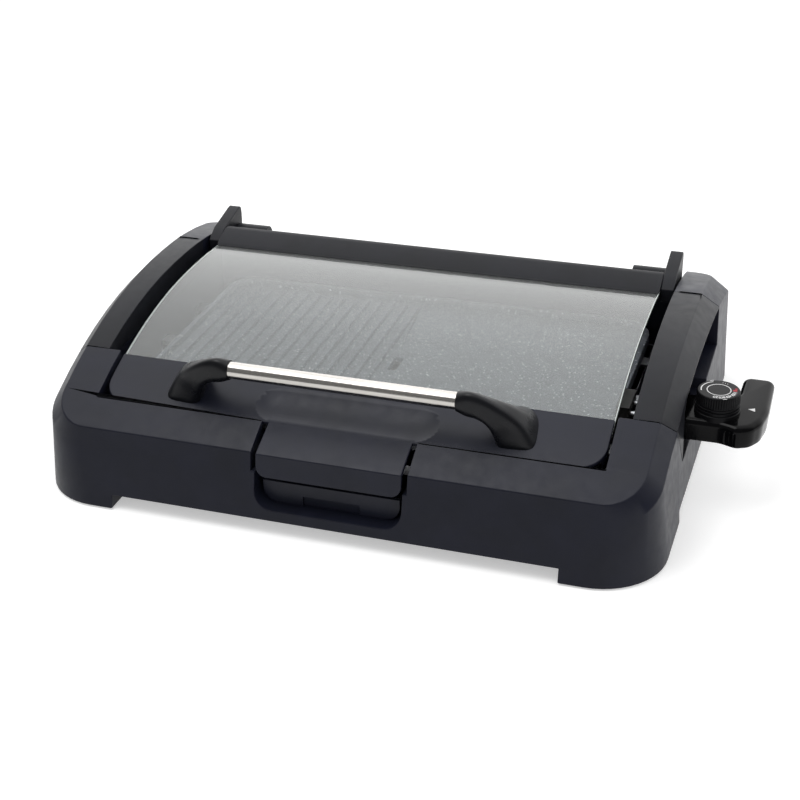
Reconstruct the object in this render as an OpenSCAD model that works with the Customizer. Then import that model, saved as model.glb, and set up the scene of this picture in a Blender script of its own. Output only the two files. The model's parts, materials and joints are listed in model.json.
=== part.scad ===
// Indoor electric grill with a hinged glass lid, a pull-out drip tray and a plug-in thermostat.
// Millimetres. X runs across the front, Y from the front to the back, Z up from the table.
// Every shape is drawn about the middle of the front edge and then moved by "placed",
// so that the origin lies on the table under the middle of the whole grill.

/* [Body] */
// Width of the body between the front feet's outer faces
front_w = 530; // [522:1:536]
// Width of the body between the rear feet's outer faces
rear_w = 536; // [532:1:542]
// Depth of the body at the table
body_d = 394; // [390:1:398]
// Height of the bevelled band between the rim and the shoulder line below it
shoulder_drop = 13.5; // [13:0.5:14]
// Height of the arched rim at its highest point
crest_z = 127; // [125:1:129]
// Distance of that highest point from the front
crest_y = 240; // [236:1:244]
// Drop of the rim from its highest point to the front edge
crest_drop = 59; // [57:1:61]
// Thickness of the moulded walls
wall = 3; // [2.6:0.1:3.4]

/* [Lid] */
// Width of the lid panel and of the glass
lid_w = 424; // [420:1:425]
// Thickness of the tempered glass
glass_t = 4; // [3.5:0.1:4.5]
// Height of the hinge axis
hinge_z = 112; // [111:0.5:113]
// Distance of the hinge axis from the front
hinge_y = 340; // [338:1:342]
// Diameter of the handle tube
tube_d = 14; // [12:0.5:15]

/* [Cooking] */
// Width of the cooking plate
plate_w = 410; // [400:1:414]
// Depth of the cooking plate
plate_d = 260; // [250:1:262]
// Height of the cooking surface
plate_z = 70; // [69:0.5:72]
// Number of grill bars on the ribbed half
bar_count = 15; // [10:1:16]

/* [Control] */
// Diameter of the knob
knob_d = 34; // [30:1:36]
// Reach of the control from the middle of the grill
control_x = 323; // [320:1:326]
// Distance of the control's middle from the front
control_y = 149; // [147:1:151]

/* [Hidden] */

// Body outline at the rim and at the shoulder
rim_front = 15;            // front edge of the rim
rim_rear_in = 28;          // rear edge of the rim, inside the rear feet
rim_front_half = 246.5;    // half width of the rim behind its front corners
rim_rear_half = 251;       // half width of the rim at the back
shoulder_front = 12;       // front edge of the shoulder
shoulder_rear_in = 20;     // rear edge of the shoulder, inside the rear feet
shoulder_front_half = 258.5;
shoulder_rear_half = 266;
foot_r = 56;               // front corner radius at the table
shoulder_r = 38;
rim_r = 31;
rear_r = 18;               // rear corner radius
corner_steps = 12;
side_steps = 12;
crest_power = 2.2;         // flatness of the arch: 2 would be a parabola

// Openings in the body
pad_z = 1.5;               // underside of the feet
pad_r = 9;
foot_h = 13;               // height of the cut-outs between the feet
foot_front_half = 189;     // the front cut-out's half width
foot_side = [110, 338];    // the side cut-out runs between these distances
pad_places = [[212, 44], [236, 364]];
screw_places = [[150, 96], [150, 300]];
screw_r = 4;
screw_h = 2;
seam_front = 90;           // front end of the side arms
seam_rear = 286;           // rear end of the side arms
seam_knees = [[seam_front, 102], [104, 83]];
seam_rear_knees = [[297, 109], [seam_rear, 125]];
tongue = [122, 52];        // lowest point of the arm's outer face
tongue_rear = [128, 92];   // where the arm's lower edge turns backwards
lip_start = 136;           // from here back the arm's lower edge follows the shoulder line
arm_lip = 1.5;             // and reaches this far below it
arm_under = 94;            // underside of the arms' inner walls
arm_inner = 225.5;         // inner face of the side arms
recess_x = 230;            // outer face of the recessed side wall
flank_edge = [[205, 56], [238, 58], [240, 67], [299, 72]];
mouth_half = 214.5;        // inner edge of the front rim
mouth_front = 42;
mouth_z = 70;              // top of the inner wall under the lid's front edge
deck_front = 325;          // shelf that carries the hinges
deck_z = 98;
notch_half = 65.5;         // gap in the front wall for the lid's tab
pocket_half = 62;
pocket_z = [22, 52];
floor_top = foot_h + wall;
tall = 200;                // taller than the grill, for cutting

// Lid
lid_step = 3;              // how far the lid lies below the rim
panel_front = 44;
panel_rear = 90;
panel_t = 2.5;
glass_y = [78, 300];
bar_y = [288, 318];
bar_top = 129;
bar_nose = 3;              // bevel along the bar's front edge
bar_slope = 21;            // depth of the bar's sloping front face
bar_round = 2;             // bevel along the bar's rear edge
bar_low = 3;               // the bar reaches this far below the hinge axis
tab_half = 61;
tab_z = [48.5, 68];
tab_y = [10.5, 13.5];
hinge_r = 3;
running_gap = 0.05;         // round a pin, a shaft or a sliding fit
ear_x = [212.3, 223.8];
ear_r = 10.5;              // roundness of the ear below the hinge axis
// Side view of the ear above the hinge, from the bar backwards
ear_edge = [[296, hinge_z - bar_low], [296, 121], [309, bar_top], [344, 136.5], [348, 137],
            [350.5, 135], [351, 130]];
block_x = [180, 211.8];
glass_steps = 18;
scoop_y = 61;              // middle of the finger scoop
scoop_r = 45;
scoop_half = 60;
scoop_deep = 4;
handle_half = 95;          // half the length of the bare tube
handle_y = 52;
handle_z = 119;
// Balls that shape the handle bracket: place of the middle and radius
bracket_foot = [[132, 57, 84, 6], [152, 58, 85, 6], [146, 79, 94, 7], [136, 83, 96, 5]];
bracket_shoulder = [128, 56, 110, 8];
bracket_elbow = [114, 53, 117.5, 8.4];
bracket_collar = 1;        // the bracket is this much thicker than the tube it holds
lid_screw_x = [129, 145];
lid_screw_y = 68;

// Cooking parts
plate_y0 = 58;
plate_t = 5;
plate_rim = 6;
element_r = 3.5;
element_z = plate_z - plate_t - element_r;
element_x = [-150, 158];   // ends of the heating loop's straight runs
element_y = [104, 266];    // front and rear run of the heating loop
element_bends = [18, 30];  // radius of its tight and of its wide bends
rail_top = 46;
pan_t = 1.2;
bracket_y = [104, 192, 264];
bracket_half = 7;
drain_y = [110, 250];      // slot in the pan above the tray
tray_half = 58;
tray_y = [18, 298];
tray_z = [22, 42];
tray_t = 1.6;
tray_r = 13;               // radius of the tray's lower corners

// Control
port_z = 79;               // height of the terminals and of the probe
pin_r = 2.4;
pin_pitch = 18;
sleeve_r = 4;
probe_r = 2.5;
block_end = 216;           // outer face of the terminal block
guard_x = [222, 246];
guard_half = 20;
guard_h = 14;              // half the height of the guard's collar
guard_flange = 4;
pin_end = 250;             // tips of the terminal pins
nose_x = 232;              // inner end of the control's nose
nose_half = 16;
control_z = [68, 91];
control_split = 74;
control_x0 = 254;
knob_x = 284;
knob_top = 108;
knob_z0 = 94;
control_front = 130;
control_rear = 171;
control_end = 207;
control_arm = 25;          // width of the leg that runs backwards
control_screw_places = [[264, 138], [264, 163], [310, 196]];
control_screw_r = 2.8;
control_screw_h = 1.5;
case_grooves = [286, 291, 296];  // upright grooves in the case's front
groove_w = 2;
groove_deep = 1.2;
cover_bevel = 3;           // height of the step round the cover's top

mid_x = (control_x - rear_w / 2) / 2;

function lerp(a, b, t) = a + (b - a) * t;

// Height of the rim at a distance y from the front.
function crest(y) =
  crest_z - crest_drop * pow(abs(y - crest_y) / (crest_y - rim_front), crest_power);

// Height of the lid's upper face.
function lid_z(y) = crest(y) - lid_step;

// Points of an arc in the plane.
function arc(c, r, a0, a1, n) =
  [for (i = [0:n]) let (a = lerp(a0, a1, i / n)) [c[0] + r * cos(a), c[1] + r * sin(a)]];

// Right half of the body's outline at one level: front corner, side, rear corner.
function half_outline(yf, yr, hf, hr, rf, rr) = concat(
  arc([hf - rf, yf + rf], rf, -90, 0, corner_steps),
  [for (i = [1:side_steps - 1]) let (t = i / side_steps)
    [lerp(hf, hr, t), lerp(yf + rf, yr - rr, t)]],
  arc([hr - rr, yr - rr], rr, 0, 90, corner_steps));

function both_sides(half) =
  concat(half, [for (i = [len(half) - 1:-1:0]) [-half[i][0], half[i][1]]]);

// Outline at the feet, at the shoulder and at the rim, each moved inwards by s.
function foot_outline(s) =
  both_sides(half_outline(s, body_d - s, front_w / 2 - s, rear_w / 2 - s, foot_r, rear_r));
function shoulder_outline(s) =
  both_sides(half_outline(shoulder_front + s, body_d - shoulder_rear_in - s,
                          shoulder_front_half - s, shoulder_rear_half - s, shoulder_r, rear_r));
function rim_outline(s) =
  both_sides(half_outline(rim_front + s, body_d - rim_rear_in - s, rim_front_half - s,
                          rim_rear_half - s, rim_r, rear_r));

module placed() {
  translate([-mid_x, -body_d / 2, 0]) children();
}

// A profile drawn in the Y-Z plane and extruded from x0 to x1.
module across(x0, x1) {
  translate([x0, 0, 0]) rotate([90, 0, 90]) linear_extrude(x1 - x0) children();
}

module both() {
  children();
  mirror([1, 0, 0]) children();
}

module block(lo, hi) {
  translate(lo) cube(hi - lo);
}

// A cylinder along X from x0 to x1.
module rod_x(x0, x1, y, z, r) {
  translate([x0, y, z]) rotate([0, 90, 0]) cylinder(r = r, h = x1 - x0);
}

// The whole outer form of the body: three outlines joined by straight walls and
// closed on top by the arched rim.
module body_form(s, drop, z0) {
  low = foot_outline(s);
  mid = shoulder_outline(s);
  top = rim_outline(s);
  n = len(low);
  half = n / 2;
  points = concat(
    [for (p = low) [p[0], p[1], z0]],
    [for (p = mid) [p[0], p[1], crest(p[1]) - shoulder_drop]],
    [for (p = top) [p[0], p[1], crest(p[1]) - drop]]);
  sides = [for (k = [0:1]) for (i = [0:n - 1]) let (j = (i + 1) % n)
    each [[(k + 1) * n + i, (k + 1) * n + j, k * n + j], [(k + 1) * n + i, k * n + j, k * n + i]]];
  cap = [for (i = [0:half - 2])
    [3 * n - 1 - i, 3 * n - 2 - i, 2 * n + i + 1, 2 * n + i]];
  polyhedron(points, concat([[for (i = [0:n - 1]) i]], sides, cap));
}

// Side view of everything that is missing from the flank above its top edge.
module flank_profile() {
  polygon(concat([[seam_front, tall]], seam_knees, [tongue], flank_edge, seam_rear_knees,
                 [[seam_rear, tall]]));
}

// Side view of the arm's outer face: a tongue in front, then a band below the rim.
module arm_profile() {
  polygon(concat([[seam_front, tall]], seam_knees, [tongue, tongue_rear],
    [for (i = [0:side_steps - 1]) let (y = lerp(lip_start, seam_rear_knees[0][0], i / side_steps))
      [y, crest(y) - shoulder_drop - arm_lip]],
    seam_rear_knees, [[seam_rear, tall]]));
}

module foot_cuts(g) {
  h = foot_h + g;
  block([-foot_front_half - g, -10, -10], [foot_front_half + g, body_d / 2, h]);
  block([-foot_front_half - g, body_d / 2 - 1, -10], [foot_front_half + g, body_d + 10, h]);
  block([-rear_w, foot_side[0] - g, -10], [rear_w, foot_side[1] + g, h]);
}

module flank_cuts(g) {
  both() across(recess_x - g, rear_w) offset(delta = g) flank_profile();
}

// The open trough inside the body: everything above the floor, between the inner walls.
module trough(g) {
  block([-mouth_half - g, mouth_front + wall - g, floor_top], [mouth_half + g, seam_front + 8, tall]);
  block([-arm_inner - g, seam_front - g, floor_top], [arm_inner + g, deck_front + g, tall]);
  block([-arm_inner - g, deck_front - 1, deck_z - g], [arm_inner + g, body_d + 10, tall]);
}

module tab_pocket(g) {
  block([-notch_half - g, -10, pocket_z[1] - g], [notch_half + g, mouth_front + wall + 1, tall]);
  r = 15;
  z = pocket_z[0] - g;
  translate([0, mouth_front + wall + 1, 0]) rotate([90, 0, 0]) linear_extrude(70)
    polygon(concat(arc([pocket_half + g - r, z + r], r, -90, 0, 6),
                   [[pocket_half + g, pocket_z[1] + 1], [-pocket_half - g, pocket_z[1] + 1]],
                   arc([-pocket_half - g + r, z + r], r, 180, 270, 6)));
}

// Rails that guide the drip tray and carry the pan, with the floor of the tray's channel.
module tray_channel() {
  both() block([tray_half + 1, 20, floor_top - 1], [tray_half + 1 + wall, deck_front + 1, rail_top]);
  block([-tray_half - 2, 20, pocket_z[0] - wall], [tray_half + 2, deck_front + 1, pocket_z[0]]);
}

module floor_vents() {
  for (x = [-170:28:170])
    if (abs(x) > tray_half + 10)
      for (y = [110, 200])
        block([x - 2.5, y, 0], [x + 2.5, y + 60, floor_top + 1]);
}

module lower_housing() {
  color([0.16, 0.16, 0.18]) placed() difference() {
    body_form(0, 0, pad_z);
    difference() {
      body_form(wall, wall, pad_z + wall);
      flank_cuts(wall);
      foot_cuts(wall);
      trough(wall);
      tab_pocket(wall);
    }
    difference() {
      trough(0);
      tray_channel();
    }
    flank_cuts(0);
    foot_cuts(0);
    tab_pocket(0);
    block([-mouth_half, mouth_front, mouth_z], [mouth_half, mouth_front + 10, tall]);
    block([-arm_inner - 10, seam_front, arm_under], [arm_inner + 10, seam_rear, tall]);
    block([arm_inner - 1, control_y - guard_half, port_z - guard_h],
          [recess_x + 1, control_y + guard_half, port_z + guard_h]);
    floor_vents();
  }
}

module side_arm() {
  difference() {
    intersection() {
      body_form(0, 0, pad_z);
      union() {
        across(recess_x, rear_w) arm_profile();
        block([arm_inner, seam_front, arm_under], [recess_x, seam_rear, tall]);
      }
    }
    intersection() {
      body_form(wall, wall, pad_z);
      block([recess_x, seam_front - 1, 0], [rear_w, seam_rear_knees[0][0] + 1, tall]);
    }
  }
}

module right_arm() {
  color([0.22, 0.22, 0.24]) placed() side_arm();
}

module left_arm() {
  color([0.22, 0.22, 0.24]) placed() mirror([1, 0, 0]) side_arm();
}

module foot_pads() {
  color([0.08, 0.08, 0.08]) placed() both() {
    for (p = pad_places)
      translate([p[0], p[1], 0]) cylinder(r = pad_r, h = pad_z);
  }
}

module hinge_block() {
  difference() {
    across(block_x[0], block_x[1]) polygon(concat(
      [[hinge_y + 14, deck_z], [hinge_y + 10, hinge_z]],
      arc([hinge_y, hinge_z], 10, 10, 170, 10),
      [[hinge_y - 10, hinge_z], [hinge_y - 14, deck_z]]));
    rod_x(block_x[0] - 1, block_x[1] + 1, hinge_y, hinge_z, hinge_r);
  }
}

module hinge_block_right() {
  color([0.13, 0.13, 0.14]) placed() hinge_block();
}

module hinge_block_left() {
  color([0.13, 0.13, 0.14]) placed() mirror([1, 0, 0]) hinge_block();
}

module hinge_pins() {
  color([0.7, 0.7, 0.72]) placed() both() {
    rod_x(block_x[0], ear_x[1] - 1, hinge_y, hinge_z, hinge_r);
    rod_x(block_x[0] - 2, block_x[0], hinge_y, hinge_z, hinge_r + 2);
  }
}

module housing_screws() {
  color([0.55, 0.55, 0.57]) placed() both()
    for (p = screw_places)
      translate([p[0], p[1], foot_h - screw_h]) cylinder(r = screw_r, h = screw_h);
}

module reflector_pan() {
  half = mouth_half - 7;
  top = plate_z - plate_t - 10;
  color([0.72, 0.72, 0.74]) placed() difference() {
    block([-half, mouth_front + 8, rail_top], [half, deck_front - 7, top]);
    block([-half + pan_t, mouth_front + 8 + pan_t, rail_top + pan_t],
          [half - pan_t, deck_front - 7 - pan_t, tall]);
    block([-tray_half + 14, drain_y[0], 0], [tray_half - 14, drain_y[1], tall]);
  }
}

module plate_brackets() {
  top = plate_z - plate_t;
  color([0.45, 0.45, 0.47]) placed() both()
    for (y = bracket_y) {
      block([plate_w / 2 - 6, y - bracket_half, top - wall], [arm_inner, y + bracket_half, top]);
      block([arm_inner - wall, y - bracket_half, top - 22],
            [arm_inner, y + bracket_half, top - wall]);
    }
}

// Outline of a rectangle with rounded corners.
function round_rect(x0, x1, y0, y1, r, n) = concat(
  arc([x1 - r, y0 + r], r, -90, 0, n), arc([x1 - r, y1 - r], r, 0, 90, n),
  arc([x0 + r, y1 - r], r, 90, 180, n), arc([x0 + r, y0 + r], r, 180, 270, n));

module plate_outline(s, r) {
  polygon(round_rect(-plate_w / 2 + s, plate_w / 2 - s, plate_y0 + s, plate_y0 + plate_d - s, r, 4));
}

module cooking_plate() {
  left = -plate_w / 2 + 14;
  pitch = (plate_w * 0.47 - 18) / (bar_count - 1);
  color([0.34, 0.35, 0.37]) placed() difference() {
    union() {
      translate([0, 0, plate_z - plate_t]) linear_extrude(plate_t) plate_outline(0, 22);
      translate([0, 0, plate_z]) linear_extrude(plate_rim) difference() {
        plate_outline(0, 22);
        plate_outline(5, 17);
      }
      for (i = [0:bar_count - 1])
        translate([left + i * pitch, 0, plate_z - 1])
          block([0, plate_y0 + 16, 0], [4, plate_y0 + plate_d - 16, 4.5]);
    }
    translate([0, plate_y0 + plate_d / 2 - 12, 0]) block([-4, 0, 0], [4, 24, tall]);
  }
}

module element_run(p, q) {
  d = q - p;
  translate([p[0], p[1], element_z]) rotate([0, 90, atan2(d[1], d[0])])
    cylinder(r = element_r, h = norm(d));
}

module element_bend(c, r, a0) {
  translate([c[0], c[1], element_z]) rotate([0, 0, a0]) rotate_extrude(angle = 90)
    translate([r, 0]) circle(r = element_r);
}

// One tube bent into a wide loop, with both ends in the terminal block.
module heating_element() {
  y0 = control_y - pin_pitch / 2;
  y1 = control_y + pin_pitch / 2;
  near = element_y[0];
  far = element_y[1];
  r = element_bends[0];
  big = element_bends[1];
  x_end = plate_w / 2;
  x1 = element_x[1];
  x0 = element_x[0];
  color([0.3, 0.3, 0.3]) placed() {
    element_run([x_end, y0], [x1, y0]);
    element_bend([x1, y0 - r], r, 90);
    element_bend([x1 - 2 * r, y0 - r], r, -90);
    element_run([x1 - 2 * r, near], [x0, near]);
    element_bend([x0, near + big], big, 180);
    element_run([x0 - big, near + big], [x0 - big, far - big]);
    element_bend([x0, far - big], big, 90);
    element_run([x0, far], [x1 - 2 * r, far]);
    element_bend([x1 - 2 * r, far - r], r, 0);
    element_run([x1 - r, far - r], [x1 - r, y1 + r]);
    element_bend([x1, y1 + r], r, 180);
    element_run([x1, y1], [x_end, y1]);
  }
}

module terminal_block() {
  color([0.2, 0.19, 0.18]) placed()
    block([plate_w / 2, control_y - 17, element_z - 6], [block_end, control_y + 17, port_z + 9]);
}

module terminal_pins() {
  color([0.75, 0.75, 0.77]) placed()
    for (s = [-1, 1])
      rod_x(block_end, pin_end, control_y + s * pin_pitch / 2, port_z, pin_r);
}

module terminal_guard() {
  color([0.1, 0.1, 0.1]) placed() difference() {
    union() {
      block([guard_x[0], control_y - guard_half, port_z - guard_h],
            [guard_x[1], control_y + guard_half, port_z + guard_h]);
      block([guard_x[0], control_y - guard_half - guard_flange, port_z - guard_h - guard_flange],
            [arm_inner, control_y + guard_half + guard_flange, port_z + guard_h + wall]);
    }
    block([0, control_y - guard_half + 2.5, port_z - guard_h + 2.5],
          [rear_w, control_y + guard_half - 2.5, port_z + guard_h - 2.5]);
  }
}

// Cross-section of the drip tray, moved inwards by s: an open trough with rounded lower corners.
module tray_section(s, top) {
  half = tray_half - s;
  low = tray_z[0] + s;
  r = tray_r - s;
  polygon(concat(arc([half - r, low + r], r, -90, 0, 5), [[half, top], [-half, top]],
                 arc([-half + r, low + r], r, 180, 270, 5)));
}

// Something of constant cross-section between two distances from the front.
module lengthwise(y0, y1) {
  translate([0, y1, 0]) rotate([90, 0, 0]) linear_extrude(y1 - y0) children();
}

module drip_tray() {
  grip = 24;
  color([0.14, 0.14, 0.15]) placed() difference() {
    lengthwise(tray_y[0], tray_y[1]) tray_section(0, tray_z[1]);
    lengthwise(tray_y[0] + 4, tray_y[1] - tray_t) tray_section(tray_t, tall);
    block([-grip, tray_y[0] - 1, tray_z[0] - 1], [grip, tray_y[0] + 2, tray_z[0] + 9]);
  }
}

// The lid's curved section between two distances, t thick and d below its upper face.
function lid_strip(y0, y1, d, t, n) = concat(
  [for (i = [0:n]) let (y = lerp(y0, y1, i / n)) [y, lid_z(y) - d]],
  [for (i = [n:-1:0]) let (y = lerp(y0, y1, i / n)) [y, lid_z(y) - d - t]]);

// The hollow under the handle: a sausage lying in the slope of the panel.
module scoop(g) {
  slope = atan2(lid_z(scoop_y + 5) - lid_z(scoop_y - 5), 10);
  d = scoop_r - scoop_deep;
  y = scoop_y - d * sin(slope);
  z = lid_z(scoop_y) + d * cos(slope);
  rod_x(-scoop_half, scoop_half, y, z, scoop_r + g);
  for (x = [-scoop_half, scoop_half])
    translate([x, y, z]) sphere(r = scoop_r + g);
}

// Upper face of the panel, from its front edge to the glass.
function panel_top() =
  [for (i = [0:12]) let (y = lerp(panel_front, panel_rear, i / 12)) [y, lid_z(y)]];

// Side view of the panel, with the step in its underside that takes the glass.
module panel_profile() {
  step = glass_y[0];
  polygon(concat(panel_top(),
    [[panel_rear, lid_z(panel_rear) - panel_t], [step, lid_z(step) - panel_t]],
    [for (i = [8:-1:0]) let (y = lerp(panel_front, step, i / 8)) [y, lid_z(y) - wall]]));
}

// Side view of the tab that drops over the front wall. It lies level with the rim in front.
module tab_profile() {
  z = lid_z(panel_front);
  lift = tab_z[1] - lid_z(tab_y[1]);
  polygon(concat(
    [[panel_front, z], [panel_front, z - wall], [tab_y[1] + wall + 1, tab_z[1] - wall],
     [tab_y[0] + wall, tab_z[0]], [tab_y[0], tab_z[0]], [tab_y[1], tab_z[1]]],
    [for (i = [1:5]) let (y = lerp(tab_y[1], panel_front, i / 6))
      [y, lid_z(y) + lift * (1 - i / 6)]]));
}

// What is cut away to round the panel's front corner.
module panel_corner(r) {
  translate([lid_w / 2 - r, panel_front - 1, 0]) linear_extrude(tall) difference() {
    square([r + 1, r + 1]);
    translate([0, r + 1]) circle(r = r);
  }
}

// What is cut away to round the tab's lower corner.
module tab_corner(r) {
  translate([tab_half - r, panel_front - 1, tab_z[0] - 1]) rotate([90, 0, 0])
    linear_extrude(60) difference() {
      square([r + 1, r + 1]);
      translate([0, r + 1]) circle(r = r);
    }
}

module lid_panel() {
  half = lid_w / 2;
  color([0.2, 0.2, 0.22]) placed() difference() {
    union() {
      across(-half, half) panel_profile();
      across(-tab_half, tab_half) tab_profile();
      both() across(half - wall, half)
        polygon(lid_strip(panel_front, glass_y[0], 1.5, 8, 8));
      intersection() {
        scoop(wall);
        across(-half, half) polygon(lid_strip(panel_front, glass_y[0], 1.5, 20, 8));
      }
    }
    scoop(0);
    both() panel_corner(20);
    both() tab_corner(9);
  }
}

// Side view of the glass, grown by g.
module glass_profile(g) {
  polygon(lid_strip(glass_y[0], glass_y[1], panel_t - g, glass_t + 2 * g, glass_steps));
}

module lid_glass() {
  color([0.75, 0.8, 0.82, 0.35]) placed() across(-lid_w / 2, lid_w / 2) glass_profile(0);
}

module glass_retainer() {
  color([0.2, 0.2, 0.22]) placed() across(-lid_w / 2 + 14, lid_w / 2 - 14)
    polygon(lid_strip(glass_y[0] + 1, panel_rear - 1, panel_t + glass_t + 0.3, 2, 3));
}

module lid_bar() {
  y0 = bar_y[0];
  y1 = bar_y[1];
  low = panel_t + glass_t + wall;
  color([0.17, 0.17, 0.19]) placed() across(-ear_x[0], ear_x[0]) difference() {
    polygon([[y0, lid_z(y0) - panel_t], [y0 + bar_nose, lid_z(y0)], [y0 + bar_slope, bar_top],
             [y1 - bar_round, bar_top], [y1, bar_top - bar_round], [y1, hinge_z - bar_low],
             [glass_y[1], hinge_z - bar_low], [y0 + bar_nose, lid_z(y0 + bar_nose) - low],
             [y0, lid_z(y0) - low + 1]]);
    glass_profile(running_gap);
  }
}

module lid_ear() {
  difference() {
    across(ear_x[0], ear_x[1])
      polygon(concat(ear_edge, arc([hinge_y, hinge_z], ear_r, 10, -90, 6)));
    rod_x(ear_x[0] - 1, ear_x[1] + 1, hinge_y, hinge_z, hinge_r + running_gap);
  }
}

module lid_ear_right() {
  color([0.17, 0.17, 0.19]) placed() lid_ear();
}

module lid_ear_left() {
  color([0.17, 0.17, 0.19]) placed() mirror([1, 0, 0]) lid_ear();
}

module ball(b) {
  translate([b[0], b[1], b[2]]) sphere(r = b[3], $fn = 24);
}

// The foot of the bracket spreads like a leaf on the panel; its neck bends over to the tube.
module handle_bracket() {
  difference() {
    union() {
      hull() {
        for (b = bracket_foot) ball(b);
        ball(bracket_shoulder);
      }
      hull() {
        ball(bracket_shoulder);
        ball(bracket_elbow);
      }
      hull() {
        ball(bracket_elbow);
        translate([handle_half, handle_y, handle_z]) rotate([0, 90, 0])
          cylinder(r = tube_d / 2 + bracket_collar, h = 3, $fn = 32);
      }
    }
    across(0, rear_w) polygon(concat(
      [for (p = panel_top()) [p[0], p[1] + running_gap]],
      [[panel_rear + 10, lid_z(panel_rear) + 4], [panel_rear + 10, 0], [0, 0],
       [0, lid_z(panel_front) - 20]]));
  }
}

module handle_bracket_right() {
  color([0.07, 0.07, 0.07]) placed() handle_bracket();
}

module handle_bracket_left() {
  color([0.07, 0.07, 0.07]) placed() mirror([1, 0, 0]) handle_bracket();
}

module handle_tube() {
  color([0.8, 0.79, 0.77]) placed() difference() {
    rod_x(-handle_half, handle_half, handle_y, handle_z, tube_d / 2);
    rod_x(-handle_half - 1, handle_half + 1, handle_y, handle_z, tube_d / 2 - 1);
  }
}

module handle_plugs() {
  color([0.1, 0.1, 0.1]) placed() both()
    rod_x(handle_half - 14, handle_half, handle_y, handle_z, tube_d / 2 - 1);
}

module lid_screws() {
  color([0.6, 0.6, 0.62]) placed() both()
    for (x = lid_screw_x)
      translate([x, lid_screw_y, lid_z(lid_screw_y - 4) - wall - 2.2])
        cylinder(r = 3.5, h = 2);
}

// Plan of the thermostat's case: a block with one leg that runs backwards.
module control_plan(s) {
  x1 = control_x - s;
  x_leg = control_x - control_arm + s;
  y0 = control_front + s;
  polygon(concat(
    [[control_x0, y0]], arc([x1 - 20, y0 + 20], 20, -90, 0, 7),
    arc([x1 - 8, control_end - s - 8], 8, 0, 90, 4),
    arc([x_leg + 7, control_end - s - 7], 7, 90, 180, 4),
    [[x_leg, control_rear - s], [control_x0, control_rear - s]]));
}

module control_cover() {
  color([0.05, 0.05, 0.05]) placed() difference() {
    union() {
      translate([0, 0, control_split])
        linear_extrude(control_z[1] - cover_bevel - control_split) control_plan(0);
      translate([0, 0, control_z[1] - cover_bevel])
        linear_extrude(cover_bevel) control_plan(cover_bevel / 2);
    }
    for (x = case_grooves)
      block([x, control_front - 1, 0],
            [x + groove_w, control_front + groove_deep, control_z[1] - 2 * cover_bevel]);
    translate([knob_x, control_y, control_z[1] - 11]) cylinder(r = hinge_r + running_gap, h = 20);
  }
}

module control_base() {
  color([0.06, 0.06, 0.06]) placed()
    translate([0, 0, control_z[0]]) linear_extrude(control_split - control_z[0]) control_plan(1);
}

module control_nose() {
  color([0.05, 0.05, 0.05]) placed() difference() {
    block([nose_x, control_y - nose_half, port_z - 9.5], [control_x0, control_y + nose_half, port_z + 9.5]);
    for (s = [-1, 1])
      rod_x(nose_x - 1, control_x0 + 1, control_y + s * pin_pitch / 2, port_z, sleeve_r);
    rod_x(nose_x - 1, control_x0 + 1, control_y, port_z, probe_r);
  }
}

module contact_sleeves() {
  color([0.75, 0.6, 0.3]) placed()
    for (s = [-1, 1])
      difference() {
        rod_x(nose_x + 1, control_x0, control_y + s * pin_pitch / 2, port_z, sleeve_r);
        rod_x(nose_x, control_x0 - 2, control_y + s * pin_pitch / 2, port_z, pin_r + running_gap);
      }
}

module probe() {
  color([0.72, 0.72, 0.74]) placed() {
    rod_x(block_end + 4, control_x0, control_y, port_z, probe_r);
    translate([block_end + 4, control_y, port_z]) sphere(r = probe_r);
  }
}

// Rim of the knob, with one flute after another.
function flutes(r, depth, n) =
  [for (i = [0:2 * n - 1]) let (a = 180 * i / n, q = i % 2 == 0 ? r : r - depth)
    [q * cos(a), q * sin(a)]];

module knob() {
  color([0.06, 0.06, 0.06]) placed() translate([knob_x, control_y, knob_z0]) {
    linear_extrude(knob_top - knob_z0 - 2) polygon(flutes(knob_d / 2, 0.8, 40));
    translate([0, 0, knob_top - knob_z0 - 2]) cylinder(r = knob_d / 2 - 1, h = 2);
  }
}

module knob_collar() {
  color([0.06, 0.06, 0.06]) placed() translate([knob_x, control_y, control_z[1]])
    difference() {
      cylinder(r = knob_d / 2 + 1, h = knob_z0 - 0.4 - control_z[1]);
      translate([0, 0, -1]) cylinder(r = hinge_r + 1, h = 10);
    }
}

module knob_shaft() {
  color([0.7, 0.7, 0.72]) placed() translate([knob_x, control_y, control_z[1] - 10])
    cylinder(r = hinge_r, h = knob_z0 - control_z[1] + 10);
}

module control_screws() {
  color([0.5, 0.5, 0.52]) placed()
    for (p = control_screw_places)
      translate([p[0], p[1], control_z[0] - control_screw_h])
        cylinder(r = control_screw_r, h = control_screw_h);
}

lower_housing();
left_arm();
right_arm();
foot_pads();
housing_screws();
hinge_block_left();
hinge_block_right();
hinge_pins();
reflector_pan();
plate_brackets();
cooking_plate();
heating_element();
terminal_block();
terminal_pins();
terminal_guard();
drip_tray();
lid_panel();
lid_glass();
glass_retainer();
lid_bar();
lid_ear_left();
lid_ear_right();
handle_bracket_left();
handle_bracket_right();
handle_tube();
handle_plugs();
lid_screws();
control_cover();
control_base();
control_nose();
contact_sleeves();
probe();
knob();
knob_collar();
knob_shaft();
control_screws();
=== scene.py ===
"""Looks of an indoor electric grill with a hinged glass lid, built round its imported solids.

Metres, in the frame of the solids: X across the front, Y to the back, Z up from the table.
Sizes of the sub-assemblies are written in millimetres about the middle of the front edge, as
the moulds are, and one function turns them into the frame.
"""

from __future__ import annotations

import json
import logging
import math
from dataclasses import dataclass
from enum import Enum
from typing import Callable, Sequence

import bmesh
import bpy
import numpy as np
from mathutils import Matrix, Vector

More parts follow.
